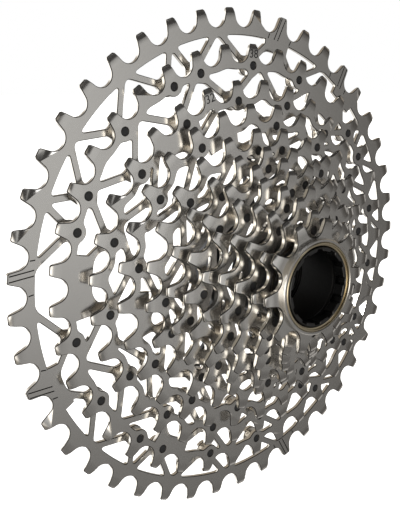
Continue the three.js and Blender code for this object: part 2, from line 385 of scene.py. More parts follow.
def thinned(points):
    """Drop points that lie on the straight line between those that stay."""
    kept = [points[0]]
    waiting = []
    for point in points[1:]:
        chord = point - kept[-1]
        bend = max((abs(chord.cross(p - kept[-1])) for p in waiting), default=0)
        if waiting and (bend > THIN_WITHIN * chord.length or chord.length > LONGEST_CHORD):
            kept.append(waiting[-1])
            waiting = []
        waiting.append(point)
    kept.append(points[-1])
    return kept


def zero_lines(sprocket, smaller):
    """Closed outlines where the metal ends."""
    radii, angles = field_grid(sprocket, smaller)
    rays = len(angles)
    radius, angle = np.meshgrid(radii, angles, indexing="ij")
    depth = metal_depth(sprocket, smaller, radius, angle)
    inside = depth > 0
    metal_corners = inside[:-1].astype(int) + inside[1:]
    metal_corners = metal_corners + np.roll(metal_corners, -1, axis=1)
    neighbours = {}
    for i, j in zip(*np.nonzero((metal_corners > 0) & (metal_corners < 4))):
        join_crossings(inside, int(i), int(j), rays, neighbours)

    def place(crossing):
        i, j, outward_edge = crossing
        k, m = (i + 1, j) if outward_edge else (i, (j + 1) % rays)
        part = depth[i, j] / (depth[i, j] - depth[k, m])
        out = radii[i] + part * (radii[1] - radii[0]) * outward_edge
        return on_ray((j + part * (not outward_edge)) * 2 * math.pi / rays, out)

    lines = [line for line in chain_up(neighbours) if len(line) > FEWEST_CROSSINGS]
    return [thinned([place(crossing) for crossing in line]) for line in lines]


# %% [markdown]
# ## From a flat outline to a chamfered plate
# Blender's Bevel modifier is slow and unsure on thousands of short edges, so the chamfer
# is built with the plate: each outline is drawn twice, once in full and once set in by
# the chamfer. The flat face is the inset one, filled with Blender's own constrained
# triangulation, and narrow strips join it to the walls.

# %% Insetting a loop
SHARPEST = 0.5  # stops a sharp corner's mitre from running far out


def signed_area(loop):
    return sum(a.x * b.y - b.x * a.y for a, b in zip(loop, loop[1:] + loop[:1])) / 2


def with_metal_on_the_left(loop, is_hole):
    return loop[::-1] if (signed_area(loop) > 0) == is_hole else loop


def inset(loop, distance):
    """Move every edge of a loop into the metal."""
    moved = []
    for i, point in enumerate(loop):
        before = (point - loop[i - 1]).normalized()
        after = (loop[(i + 1) % len(loop)] - point).normalized()
        left_before = Vector((-before.y, before.x))
        left_after = Vector((-after.y, after.x))
        mitre = (left_before + left_after) / max(SHARPEST, 1 + left_before.dot(left_after))
        moved.append(point + mitre * distance)
    return moved


# %% Filling loops with triangles
SAME_PLACE = 1e-4


class CrossingTest:
    """Says whether a point lies on metal, by counting the outline edges beside it."""

    def __init__(self, loops):
        self.bands = {}
        for loop in loops:
            for a, b in zip(loop, loop[1:] + loop[:1]):
                low, high = sorted((a.y, b.y))
                for band in range(math.floor(low), math.floor(high) + 1):
                    self.bands.setdefault(band, []).append((a, b))

    def inside(self, point):
        count = 0
        for a, b in self.bands.get(math.floor(point.y), []):
            if (a.y > point.y) != (b.y > point.y):
                if point.x < a.x + (point.y - a.y) * (b.x - a.x) / (b.y - a.y):
                    count += 1
        return count % 2 == 1


def fill(loops, creases):
    """Triangles over the metal between an outline and its holes."""
    points = [point for loop in loops for point in loop]
    edges = list(creases)
    start = 0
    for loop in loops:
        count = len(loop)
        edges += [(start + i, start + (i + 1) % count) for i in range(count)]
        start += count
    found = geometry.delaunay_2d_cdt(points, edges, [], 0, SAME_PLACE)
    places, triangles, origins = found[0], found[2], found[3]
    index = [origin[0] if origin else None for origin in origins]
    metal = CrossingTest(loops)
    kept = []
    for triangle in triangles:
        corners = [index[i] for i in triangle]
        middle = sum((places[i] for i in triangle), Vector((0, 0))) / 3
        if None not in corners and metal.inside(middle):
            kept.append(corners)
    return kept


# %% Points and faces of a plate
FLAT, CHAMFER, WALL = 0, 1, 2  # the numbers of a plate's three finishes


def layered_points(loops, face_loops, sinks, low, high, edge):
    """Four layers of points: the low face, both ends of the walls and the high face."""
    full = [point for loop in loops for point in loop]
    flat = [point for loop in face_loops for point in loop]
    sunk = list(sinks) + [0.0] * (len(full) - len(sinks))
    placed = []
    for points, base, inward, lift in ((flat, low, 1, 0), (full, low, 1, edge),
                                       (full, high, -1, edge), (flat, high, -1, 0)):
        placed += [(point.x, base + inward * (depth + lift), point.y)
                   for point, depth in zip(points, sunk)]
    return placed


def wall_faces(loops, count):
    """Chamfer, wall and chamfer again, as three strips round every loop."""
    faces, finishes = [], []
    start = 0
    for loop in loops:
        size = len(loop)
        for i in range(size):
            a, b = start + i, start + (i + 1) % size
            for level, finish in enumerate((CHAMFER, WALL, CHAMFER)):
                lower, upper = level * count, (level + 1) * count
                faces.append((lower + a, upper + a, upper + b, lower + b))
                finishes.append(finish)
        start += size
    return faces, finishes


def ramp_faces(ramp_loops, start):
    """The floor and walls of the ramps, whose upper points begin at start."""
    lower = sum(len(loop) for loop in ramp_loops)
    faces = []
    for loop in ramp_loops:
        size = len(loop)
        below = start + lower
        faces.append(tuple(below + i for i in reversed(range(size))))
        for i in range(size):
            j = (i + 1) % size
            faces.append((start + i, below + i, below + j, start + j))
        start += size
    return faces


# %% A plate, given its outline and holes
RAMP_DEPTH = 0.4
SHARP_FROM = math.radians(35)


def plate_mesh(name, outline, holes, low, high, creases=(), sinks=(), edge=EDGE, ramps=()):
    """A plate across the axle from y = low to y = high, with both faces sunk at the outline.

    Ramps are outlines inside the metal, milled into the low face.
    """
    loops = [with_metal_on_the_left(outline, False)]
    loops += [with_metal_on_the_left(hole, True) for hole in holes]
    face_loops = [inset(loop, edge) for loop in loops]
    ramp_loops = [with_metal_on_the_left(ramp, True) for ramp in ramps]
    points = layered_points(loops, face_loops, sinks, low, high, edge)
    count = len(points) // 4
    for depth in (0, RAMP_DEPTH):
        points += [(point.x, low + depth, point.y) for loop in ramp_loops for point in loop]
    triangles = fill(face_loops, creases)
    low_triangles = fill(face_loops + ramp_loops, creases) if ramps else triangles
    faces = [tuple(i if i < count else 3 * count + i for i in triangle)
             for triangle in low_triangles]
    faces += [tuple(3 * count + i for i in reversed(triangle)) for triangle in triangles]
    milled = ramp_faces(ramp_loops, 4 * count)
    walls, wall_finishes = wall_faces(loops, count)
    # The ramps' floors and walls take the chamfer finish, whose painted shade darkens the grooves.
    finishes = [FLAT] * len(faces) + [CHAMFER] * len(milled) + wall_finishes
    mesh = bpy.data.meshes.new(name)
    mesh.from_pydata([(x * MM, y * MM, z * MM) for x, y, z in points], [], faces + milled + walls)
    mesh.polygons.foreach_set("material_index", finishes)
    mesh.polygons.foreach_set("use_smooth", [finish != FLAT for finish in finishes])
    mesh.set_sharp_from_angle(angle=SHARP_FROM)
    return mesh


def put(name, data):
    """A new object in the scene."""
    piece = bpy.data.objects.new(name, data)
    bpy.context.scene.collection.objects.link(piece)
    return piece


# %% [markdown]
# ## The twelve sprockets
# Every plate has the same recipe, so one function makes all twelve. The holes for the
# plate's own pins and for the next sprocket's pins go right through it, but the pins of the
# 10 are plain spacers and have none. A few teeth of the largest have grooves for the chain.

# %% Pin holes and ramps
HOLE_PLAY = 0.09
HOLE_SIDES = 18
RAMP_MARGIN = 0.5
RAMP_TOP = 2.0  # how far a groove on a tooth reaches past the pitch circle
GROOVE = 0.4


def pin_holes(sprocket):
    return [circle(RIVET + HOLE_PLAY, HOLE_SIDES, on_ray(angle, sprocket["pin_radius"]))
            for angle in pin_angles(sprocket)]


def tooth_ramps(sprocket):
    """Slanting grooves in the outer face, where the chain climbs onto a sprocket."""
    root = sprocket["inner"] + RAMP_MARGIN
    seat_top = sprocket["pitch"] - ROLLER_SEAT - RAMP_MARGIN
    tooth_top = sprocket["pitch"] + RAMP_TOP
    found = []
    for index, slant in sprocket.get("ramps", {}).items():
        for side, across, top in ((-0.5, 0.5, seat_top), (0, -1.0, tooth_top),
                                  (0, 0.8, tooth_top), (0.5, -0.5, seat_top)):
            angle = tooth_angle(sprocket, index + side)
            foot = across + slant * (top - root)
            found.append([on_ray(angle, root, foot), on_ray(angle, root, foot + GROOVE),
                          on_ray(angle, top, across + GROOVE), on_ray(angle, top, across)])
    return found


# %% Making the sprockets
def sprocket_mesh(level):
    sprocket = SPROCKETS[level]
    smaller = SPROCKETS[level + 1] if level + 1 < len(SPROCKETS) else None
    outline, sinks, creases = toothed_outline(sprocket)
    holes = pin_holes(sprocket) if sprocket.get("riveted", "pins" in sprocket) else []
    if smaller and smaller.get("riveted", True):
        holes += pin_holes(smaller)
    if "eye" in sprocket:
        holes += zero_lines(sprocket, smaller)
    else:
        holes.append(circle(sprocket["inner"], RING_SIDES))
    low = sprocket["face"]
    return plate_mesh(f"plate_{sprocket['teeth']}", outline, holes, low, low + PLATE,
                      creases, sinks, ramps=tooth_ramps(sprocket))


plates = []
for level, sprocket in enumerate(SPROCKETS):
    plate = put(f"toothed_plate_{sprocket['teeth']}", sprocket_mesh(level))
    plates.append(plate)
    print(plate.name, len(plate.data.polygons), "faces")

# %% [markdown]
# ## Pins, by Geometry Nodes
# A pin has a thick shank that keeps two plates apart and a slimmer rivet end through each
# of them. A cassette has over a hundred, all alike but for their length, so one node tree
# sets a cylinder on every point of a ring.

# %% The node tree for a row of pins
def pin_row_tree():
    tree = bpy.data.node_groups.new("pin row", "GeometryNodeTree")
    sockets = [("Geometry", "NodeSocketGeometry"), ("Radius", "NodeSocketFloat"),
               ("Length", "NodeSocketFloat"), ("Sides", "NodeSocketInt"),
               ("Finish", "NodeSocketMaterial")]
    for name, kind in sockets:
        tree.interface.new_socket(name, in_out="INPUT", socket_type=kind)
    tree.interface.new_socket("Geometry", in_out="OUTPUT", socket_type="NodeSocketGeometry")
    nodes, links = tree.nodes, tree.links
    given = nodes.new("NodeGroupInput")
    result = nodes.new("NodeGroupOutput")
    cylinder = nodes.new("GeometryNodeMeshCylinder")
    lay = nodes.new("GeometryNodeTransform")
    lay.inputs["Rotation"].default_value = (math.pi / 2, 0, 0)
    scatter = nodes.new("GeometryNodeInstanceOnPoints")
    realize = nodes.new("GeometryNodeRealizeInstances")
    paint = nodes.new("GeometryNodeSetMaterial")
    wires = [(given, "Radius", cylinder, "Radius"), (given, "Length", cylinder, "Depth"),
             (given, "Sides", cylinder, "Vertices"), (cylinder, "Mesh", lay, "Geometry"),
             (given, "Geometry", scatter, "Points"), (lay, "Geometry", scatter, "Instance"),
             (scatter, "Instances", realize, "Geometry"),
             (realize, "Geometry", paint, "Geometry"), (given, "Finish", paint, "Material"),
             (paint, "Geometry", result, "Geometry")]
    for first, output, second, entry in wires:
        links.new(first.outputs[output], second.inputs[entry])
    return tree


PIN_ROW = pin_row_tree()
print("pin tree", len(PIN_ROW.nodes), "nodes")


# %% A row of pins from the tree
def pin_row(name, places, low, high, radius, finish, sides):
    """Cylinders from y = low to y = high, one at each place in the plane."""
    middle = (low + high) / 2 * MM
    points = bpy.data.meshes.new(name)
    points.from_pydata([(p.x * MM, middle, p.y * MM) for p in places], [], [])
    piece = put(name, points)
    modifier = piece.modifiers.new("row", "NODES")
    modifier.node_group = PIN_ROW
    values = {"Radius": radius * MM, "Length": (high - low) * MM, "Sides": sides, "Finish": finish}
    for item in PIN_ROW.interface.items_tree:
        if item.in_out == "INPUT" and item.name in values:
            modifier[item.identifier] = values[item.name]
    depsgraph = bpy.context.evaluated_depsgraph_get()
    made = bpy.data.meshes.new_from_object(piece.evaluated_get(depsgraph))
    piece.modifiers.remove(modifier)
    piece.data = made
    made.name = name
    return piece


# %% [markdown]
# ## Materials
# Shader maths is easier to read as Python than as boxes and wires. A small class wraps a
# socket and turns each operator into a Math node, and one method makes any other node.

# %% Writing shaders as expressions
class Wire:
    """A socket whose operators add Math nodes."""

    def __init__(self, shader, socket):
        self.shader = shader
        self.socket = socket

    def _math(self, operation, first, second):
        return self.shader.node("ShaderNodeMath", {"operation": operation}, {0: first, 1: second})

    def __add__(self, other):
        return self._math("ADD", self, other)

    __radd__ = __add__

    def __mul__(self, other):
        return self._math("MULTIPLY", self, other)

    __rmul__ = __mul__


class Nodes:
    """A node tree under construction."""

    def __init__(self, tree):
        self.tree = tree
        self.tree.nodes.clear()

    def node(self, kind, settings=None, inputs=None, output=0):
        made = self.tree.nodes.new(kind)
        for key, value in (settings or {}).items():
            setattr(made, key, value)
        for key, value in (inputs or {}).items():
            socket = made.inputs[key]
            if isinstance(value, Wire):
                self.tree.links.new(value.socket, socket)
            elif socket.type == "RGBA":
                socket.default_value = tuple(value) + (1,)
            else:
                socket.default_value = value
        return Wire(self, made.outputs[output] if made.outputs else None)

    def grade(self, value, low, high, start=0.0, end=1.0):
        """Map value smoothly from low..high to start..end."""
        return self.node("ShaderNodeMapRange", {"interpolation_type": "SMOOTHSTEP"},
                         {0: value, 1: low, 2: high, 3: start, 4: end})

    def absolute(self, value):
        return self.node("ShaderNodeMath", {"operation": "ABSOLUTE"}, {0: value})

    def blend_colours(self, factor, first, second):
        return self.node("ShaderNodeMix", {"data_type": "RGBA"},
                         {0: factor, 6: first, 7: second}, 2)


class Shader(Nodes):
    """A material under construction."""

    def __init__(self, name):
        self.material = bpy.data.materials.new(name)
        self.material.use_nodes = True
        super().__init__(self.material.node_tree)
        self.place = self.node("ShaderNodeTexCoord", output="Object")

    def noise(self, scale, detail=3.0, stretch=None):
        place = self.place
        if stretch:
            place = self.node("ShaderNodeMapping", None, {"Vector": place, "Scale": stretch})
        return self.node("ShaderNodeTexNoise", None,
                         {"Vector": place, "Scale": scale, "Detail": detail}, "Fac")

    def bump(self, height, strength, distance):
        return self.node("ShaderNodeBump", None,
                         {"Height": height, "Strength": strength, "Distance": distance})

    def finish(self, **inputs):
        wired = {name.replace("_", " "): value for name, value in inputs.items()}
        skin = self.node("ShaderNodeBsdfPrincipled", None, wired)
        self.node("ShaderNodeOutputMaterial", None, {"Surface": skin})
        return self.material


# %% [markdown]
# ## Nickel plate, cut edges, rivets
# The flat faces are satin: the sheet was tumbled before plating, so the reflection is soft
# and slightly clouded. The stamped walls are brighter, because the cutter burnishes them.
# The narrow chamfers between them carry a near-black colour, painted shade that draws
# every edge as a thin dark line. The rivet ends are dull and dark, with a little scale left
# from pressing.

# %% Satin nickel for the flat faces
def satin_nickel():
    shader = Shader("satin_nickel_face")
    cloud = shader.noise(45, 4)
    grain = shader.noise(900, 2)
    colour = shader.blend_colours(cloud, (0.72, 0.706, 0.682), (0.78, 0.765, 0.74))
    return shader.finish(Base_Color=colour, Metallic=1.0,
                         Roughness=0.17 + cloud * 0.06 + grain * 0.05,
                         Normal=shader.bump(grain, 0.05, 0.00005))


# %% Burnished walls
def cut_nickel():
    shader = Shader("burnished_cut_edge")
    streak = shader.noise(260, 2, (1, 0.15, 1))
    cloud = shader.noise(70, 2)
    colour = shader.blend_colours(cloud, (0.90, 0.88, 0.84), (0.96, 0.94, 0.90))
    return shader.finish(Base_Color=colour, Metallic=1.0, Roughness=0.06 + streak * 0.12,
                         Normal=shader.bump(streak, 0.10, 0.00008))


# %% Chamfers painted near black as shade lines
def dull_chamfer():
    shader = Shader("chamfer_painted_shade_line")
    cloud = shader.noise(120, 3)
    # A near-black colour: painted shade that turns every chamfer and ramp groove into a dark line.
    colour = shader.blend_colours(cloud, (0.035, 0.033, 0.031), (0.07, 0.067, 0.063))
    return shader.finish(Base_Color=colour, Metallic=1.0, Roughness=0.34 + cloud * 0.14)


# %% Turned pin shanks and pressed rivet ends
def pin_steel():
    shader = Shader("turned_pin_steel")
    rings = shader.noise(500, 2, (0.1, 1, 0.1))
    colour = shader.blend_colours(rings, (0.80, 0.75, 0.67), (0.90, 0.85, 0.77))
    return shader.finish(Base_Color=colour, Metallic=1.0, Roughness=0.12 + rings * 0.18,
                         Normal=shader.bump(rings, 0.15, 0.00006))


def rivet_end():
    shader = Shader("pressed_rivet_end")
    scale = shader.noise(1400, 4)
    colour = shader.blend_colours(scale, (0.035, 0.036, 0.038), (0.09, 0.09, 0.092))
    return shader.finish(Base_Color=colour, Metallic=0.85, Roughness=0.42 + scale * 0.2,
                         Normal=shader.bump(scale, 0.3, 0.0001))


# %% Bush bronze, black anodising in painted lit and shaded copies, and dark alloy
def bush_bronze():
    shader = Shader("bush_bronze")
    turned = shader.noise(420, 2, (0.12, 1, 0.12))
    colour = shader.blend_colours(turned, (0.66, 0.57, 0.40), (0.76, 0.67, 0.49))
    return shader.finish(Base_Color=colour, Metallic=1.0, Roughness=0.2 + turned * 0.15,
                         Normal=shader.bump(turned, 0.12, 0.00005))


def black_anodised(name, darkest, lightest, roughness):
    shader = Shader(name)
    turned = shader.noise(380, 2, (0.1, 1, 0.1))
    speck = shader.noise(1200, 3)
    colour = shader.blend_colours(speck, (darkest,) * 3, (lightest,) * 3)
    return shader.finish(Base_Color=colour, Metallic=0.95, Roughness=roughness + turned * 0.15,
                         Normal=shader.bump(turned, 0.2, 0.00008))


def dark_alloy():
    shader = Shader("dark_anodised_alloy")
    speck = shader.noise(1100, 3)
    colour = shader.blend_colours(speck, (0.018, 0.018, 0.019), (0.034, 0.034, 0.036))
    return shader.finish(Base_Color=colour, Metallic=0.5, Roughness=0.34 + speck * 0.14,
                         Normal=shader.bump(speck, 0.2, 0.0001))


# %% The finishes
FACE = satin_nickel()
SHADED_EDGE_PAINT = dull_chamfer()
CUT = cut_nickel()
PIN = pin_steel()
END = rivet_end()
BRONZE = bush_bronze()
# One black anodising in two copies: a lighter one for the mouth's faces and chamfers, painted
# light, and a darker one for the walls and bore, painted shade.
BLACK_TUBE_PAINTED_SHADE = black_anodised("black_anodised_tube_painted_shade", 0.006, 0.016, 0.42)
BLACK_RIM_PAINTED_LIGHT = black_anodised("black_anodised_rim_painted_light", 0.06, 0.09, 0.3)
ALLOY = dark_alloy()
print("materials", [material.name for material in bpy.data.materials])

# %% [markdown]
# ## Dressing the sprockets
# A plate has three finishes, by the numbers that its faces were given: satin on the flat
# faces, painted shade on the chamfers and burnished on the walls. The chamfers' near-black
# painted shade draws each edge as a thin dark line. Each piece is then given to the body
# that carries it.

# %% Finishes and bodies of the sprockets
def dress(piece, *finishes):
    """Give a piece one finish, or three in the order of FLAT, CHAMFER and WALL."""
    for finish in finishes:
        piece.data.materials.append(finish)


def settle(piece, body, slot, *nodes):
    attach(piece, body)
    if nodes:
        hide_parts(*nodes)


for sprocket, plate in zip(SPROCKETS, plates):
    dress(plate, FACE, SHADED_EDGE_PAINT, CUT)
    settle(plate, "cluster", "sprocket_nickel", f"sprocket_{sprocket['teeth']}")

# %% Pins between the sprockets
END_SINK = 0.14  # the rivet ends lie a little below the faces
SHANK_SIDES = 24
SLIM_UP_TO = 13


def pins_of(level):
    sprocket, larger = SPROCKETS[level], SPROCKETS[level - 1]
    teeth = sprocket["teeth"]
    places = [on_ray(angle, sprocket["pin_radius"]) for angle in pin_angles(sprocket)]
    shank_radius = SLIM_SHANK if teeth <= SLIM_UP_TO else PIN_SHANK
    shanks = pin_row(f"pin_shanks_{teeth}", places, sprocket["face"] + PLATE,
                     larger["face"], shank_radius, PIN, SHANK_SIDES)
    nodes = sorted(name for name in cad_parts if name.startswith(f"pin_{teeth}_"))
    settle(shanks, "cluster", "pin_steel", *nodes)
    if sprocket.get("riveted", True):
        rivets = pin_row(f"pin_rivets_{teeth}", places, sprocket["face"] + END_SINK,
                         larger["face"] + PLATE - END_SINK, RIVET, END, HOLE_SIDES)
        settle(rivets, "cluster", "pin_steel", *nodes)
    return len(places)


pin_count = sum(pins_of(level) for level in range(1, len(SPROCKETS)))
print("pins", pin_count)

# %% [markdown]
# ## Turned pieces
# The lock tube and the bush are turned on a lathe, so each is a closed profile of radius
# and place along the axle, swept round it.

# %% A lathe
TURNED_SIDES = 128
CURVE_UP_TO = math.radians(32)


def turned_mesh(name, profile):
    """Sweep a closed profile of (radius, y) points round the axle, and close it."""
    count = len(profile)
    vertices = []
    for k in range(TURNED_SIDES):
        angle = 2 * math.pi * k / TURNED_SIDES
        for radius, y in profile:
            place = on_ray(angle, radius)
            vertices.append((place.x * MM, y * MM, place.y * MM))
    faces = []
    for k in range(TURNED_SIDES):
        near, far = k * count, (k + 1) % TURNED_SIDES * count
        for i in range(count):
            j = (i + 1) % count
            faces.append((near + i, far + i, far + j, near + j))
    mesh = bpy.data.meshes.new(name)
    mesh.from_pydata(vertices, [], faces)
    return outward(mesh)


def outward(mesh):
    """Merge doubled points and turn the faces outwards."""
    work = bmesh.new()
    work.from_mesh(mesh)
    bmesh.ops.remove_doubles(work, verts=work.verts, dist=SAME_PLACE * MM)
    bmesh.ops.recalc_face_normals(work, faces=work.faces)
    work.to_mesh(mesh)
    work.free()
    return mesh


def softened(mesh):
    """Shade gentle curves smoothly and keep the corners sharp."""
    mesh.polygons.foreach_set("use_smooth", [True] * len(mesh.polygons))
    mesh.set_sharp_from_angle(angle=CURVE_UP_TO)
    return mesh


def combined(name, meshes):
    """One mesh from several, each face with the finish it had."""
    vertices, faces, finishes = [], [], []
    for mesh in meshes:
        start = len(vertices)
        vertices += [tuple(vertex.co) for vertex in mesh.vertices]
        faces += [tuple(start + i for i in polygon.vertices) for polygon in mesh.polygons]
        finishes += [polygon.material_index for polygon in mesh.polygons]
    mesh = bpy.data.meshes.new(name)
    mesh.from_pydata(vertices, [], faces)
    mesh.polygons.foreach_set("material_index", finishes)
    return mesh


# %% Sizes of the lock tube
TUBE_OUTER = 13.6
TUBE_BORE = 12.2
TUBE_CHAMFER = 0.4
MOUTH_CHAMFER = 0.22
NOTCHES = 12
NOTCH_OUT = 13.0
NOTCH_WIDTH = 2.6
NOTCH_DEPTH = 4.0
NOTCH_TAPER = 0.9  # a notch's width at its far end, as a part of its width at the bore
NOTCH_ROUND = 0.35
THREADS = 9
THREAD_PITCH = 1.0
THREAD_DEPTH = 0.38
RELIEF = 0.25  # the groove between the bore and the notches
RELIEF_LENGTH = 0.9
BORE_CHAMFER = 0.3
SHOULDER = 14.9
SHOULDER_CHAMFER = 0.2
SHOULDER_OVERLAP = 0.2  # how far its ring runs into the tube
SHOULDER_GAPS = (0.35, 0.1)  # to the 10 and to the 11, which it can't pass
tube_low, tube_high = node_span("lock_tube")


# %% The lock tube
def notch_outline():
    corners = []
    for notch in range(NOTCHES):
        angle = 2 * math.pi * notch / NOTCHES
        for out, side in ((TUBE_BORE, -1), (NOTCH_OUT, -NOTCH_TAPER),
                          (NOTCH_OUT, NOTCH_TAPER), (TUBE_BORE, 1)):
            corners.append(on_ray(angle, out, side * NOTCH_WIDTH / 2))
        corners.append(on_ray(angle + math.pi / NOTCHES, TUBE_BORE))
    return rounded(corners, NOTCH_ROUND, 3)


def tube_body_profile():
    start = tube_low + NOTCH_DEPTH
    first_thread = tube_high - THREAD_PITCH
    profile = [(NOTCH_OUT, start), (TUBE_OUTER, start), (TUBE_OUTER, tube_high - TUBE_CHAMFER),
               (TUBE_OUTER - TUBE_CHAMFER, tube_high), (TUBE_BORE + BORE_CHAMFER, tube_high)]
    for k in range(THREADS):
        y = first_thread - k * THREAD_PITCH
        profile += [(TUBE_BORE, y), (TUBE_BORE + THREAD_DEPTH, y - THREAD_PITCH / 2)]
    profile += [(TUBE_BORE, first_thread - THREADS * THREAD_PITCH),
                (TUBE_BORE, start + RELIEF_LENGTH + BORE_CHAMFER),
                (TUBE_BORE + RELIEF, start + RELIEF_LENGTH), (TUBE_BORE + RELIEF, start)]
    return profile


def shoulder_profile():
    low = SPROCKETS[-1]["face"] + PLATE + SHOULDER_GAPS[0]
    high = SPROCKETS[-2]["face"] - SHOULDER_GAPS[1]
    inside = TUBE_OUTER - SHOULDER_OVERLAP
    return [(inside, low), (SHOULDER - SHOULDER_CHAMFER, low),
            (SHOULDER, low + SHOULDER_CHAMFER), (SHOULDER, high), (inside, high)]


mouth = plate_mesh("mouth", circle(TUBE_OUTER, TURNED_SIDES), [notch_outline()], tube_low,
                   tube_low + NOTCH_DEPTH, edge=MOUTH_CHAMFER)
turned = [turned_mesh("body", tube_body_profile()), turned_mesh("shoulder", shoulder_profile())]
for part in turned:
    part.polygons.foreach_set("material_index", [WALL] * len(part.polygons))
tube = put("notched_lock_tube", softened(combined("lock_tube_mesh", [mouth] + turned)))
# The mouth's faces and chamfers take the lighter black, painted light; the walls, bore and
# shoulder take the darker black, painted shade.
dress(tube, BLACK_RIM_PAINTED_LIGHT, BLACK_RIM_PAINTED_LIGHT, BLACK_TUBE_PAINTED_SHADE)
settle(tube, "lock_tube_body", "tube_black", "lock_tube")
print("lock tube", len(tube.data.polygons), "faces")

# %% The bush ring
BUSH_INNER = 14.0
BUSH_OUTER = 15.1
BUSH_STEP = 14.55  # inner radius of its thin front part
BUSH_CHAMFER = 0.2
STEP_DEPTH = 0.7
STEP_SLOPE = 0.1
bush_low, bush_high = node_span("bush_ring")
bush_profile = [(BUSH_STEP, bush_low), (BUSH_OUTER - BUSH_CHAMFER, bush_low),
                (BUSH_OUTER, bush_low + BUSH_CHAMFER), (BUSH_OUTER, bush_high),
                (BUSH_INNER, bush_high), (BUSH_INNER, bush_low + STEP_DEPTH + STEP_SLOPE),
                (BUSH_STEP, bush_low + STEP_DEPTH)]
bush = put("bronze_bush_ring", softened(turned_mesh("bush_mesh", bush_profile)))
dress(bush, BRONZE)
settle(bush, "cluster", "bush_bronze", "bush_ring")
print("bush", len(bush.data.polygons), "faces")

# %% The lip of the smallest sprocket
LIP_INNER = 15.2
LIP_OUTER = 16.35
LIP_CHAMFER = 0.3
BELOW_BUSH = 0.05  # the bush stands a little proud of the lip
INTO_PLATE = 0.3
lip_low = bush_low + BELOW_BUSH
lip_high = SPROCKETS[-1]["face"] + INTO_PLATE
lip_profile = [(LIP_INNER, lip_high), (LIP_INNER, lip_low + BUSH_CHAMFER),
               (LIP_INNER + BUSH_CHAMFER, lip_low),
               (LIP_OUTER - LIP_CHAMFER, lip_low), (LIP_OUTER, lip_low + LIP_CHAMFER),
               (LIP_OUTER, lip_high)]
lip = put("lip_of_toothed_plate_10", softened(turned_mesh("lip_mesh", lip_profile)))
dress(lip, FACE)
settle(lip, "cluster", "sprocket_nickel")
print("lip", len(lip.data.polygons), "faces")

# %% [markdown]
# ## The splined carrier
# At the hub side a hub with splines takes the drive. Eight arms reach from it to the long
# pins of the 24-tooth sprocket. It is one milled piece, made here from two plates.

# %% Sizes of the carrier
CARRIER_OUTER = 20.5
CARRIER_BORE = 17.0
CARRIER_KEY = 16.2
CARRIER_KEYS = 9
KEY_ANGLES = (0.26, 0.11, 0.09)  # half of a key's share of the bore, its foot and its top
CARRIED_TEETH = 24
CARRIER_PINS = range(0, 24, 3)  # the teeth of that sprocket whose pins reach the carrier
ARM_PLATE = 1.9
ARM_ROOT = CARRIER_OUTER + 0.6
ARM_CHAMFER = 0.3
ARM_ROUND = 2.0
ARM_OVERLAP = 1.0  # how far the arms' plate runs into the hub
ARM_INSET = 0.02  # keeps its face from lying flush with the hub's
HUB_CHAMFER = 0.4
KEY_ROUND = 0.4
carrier_low, carrier_high = node_span("spline_carrier")


# %% Hub and arms of the carrier
def spline_bore():
    share, foot, top = KEY_ANGLES
    half = [(-share, CARRIER_BORE), (-foot, CARRIER_BORE), (-top, CARRIER_KEY)]
    whole = half + [(-turn, out) for turn, out in reversed(half)]
    corners = []
    for key in range(CARRIER_KEYS):
        angle = 2 * math.pi * key / CARRIER_KEYS
        corners += [on_ray(angle + turn, out) for turn, out in whole]
    return rounded(corners, KEY_ROUND, 3)


def arms_outline():
    """Arms that narrow from the hub and widen again round the pins."""
    carried = next(s for s in SPROCKETS if s["teeth"] == CARRIED_TEETH)
    eyes = pin_angles(carried, CARRIER_PINS)
    end = carried["pin_radius"]
    half = [(ARM_ROOT, 3.4), (ARM_ROOT + 5, 1.9), (end - 3.2, 1.7), (end - 1.2, 2.5),
            (end + 2.3, 2.0)]
    corners = []
    for i, angle in enumerate(eyes):
        corners += [on_ray(angle, out, -across) for out, across in half]
        corners += [on_ray(angle, out, across) for out, across in reversed(half)]
        corners.append(on_ray(angle + gap_after(eyes, i) / 2, CARRIER_OUTER + 0.4))
    return rounded(corners, ARM_ROUND)


hub = plate_mesh("hub", circle(CARRIER_OUTER, TURNED_SIDES), [spline_bore()],
                 carrier_low, carrier_high, edge=HUB_CHAMFER)
arms = plate_mesh("arms", arms_outline(), [circle(CARRIER_OUTER - ARM_OVERLAP, RING_SIDES)],
                  carrier_low + ARM_INSET, carrier_low + ARM_PLATE, edge=ARM_CHAMFER)
carrier = put("splined_carrier", softened(combined("carrier_mesh", [hub, arms])))
dress(carrier, ALLOY)
settle(carrier, "cluster", "carrier_alloy", "spline_carrier")
print("carrier", len(carrier.data.polygons), "faces")

# %% [markdown]
# ## Tooth numerals
# Plain numerals on one tooth of two sprockets tell a mechanic which is which. They are
# written flat, made a mesh, and only then set on their tooth.

# %% Numerals as thin raised marks
NUMERAL_HEIGHT = 3.0
NUMERAL_RISE = 0.02
DIGIT_PART = 0.72  # how high a digit is in a font of size one
BELOW_PITCH = 1.0  # from the pitch circle in to the middle of a numeral
NUMBERED_TOOTH = 9
NUMBERED_LEVELS = (1, 2)


def numeral_mesh(digits):
    text = bpy.data.curves.new("numeral", "FONT")
    text.body = digits
    text.size = NUMERAL_HEIGHT / DIGIT_PART * MM
    text.align_x = "CENTER"
    text.align_y = "CENTER"
    text.extrude = NUMERAL_RISE * MM
    written = put("numeral_text", text)
    depsgraph = bpy.context.evaluated_depsgraph_get()
    mesh = bpy.data.meshes.new_from_object(written.evaluated_get(depsgraph))
    bpy.data.objects.remove(written)
    return mesh


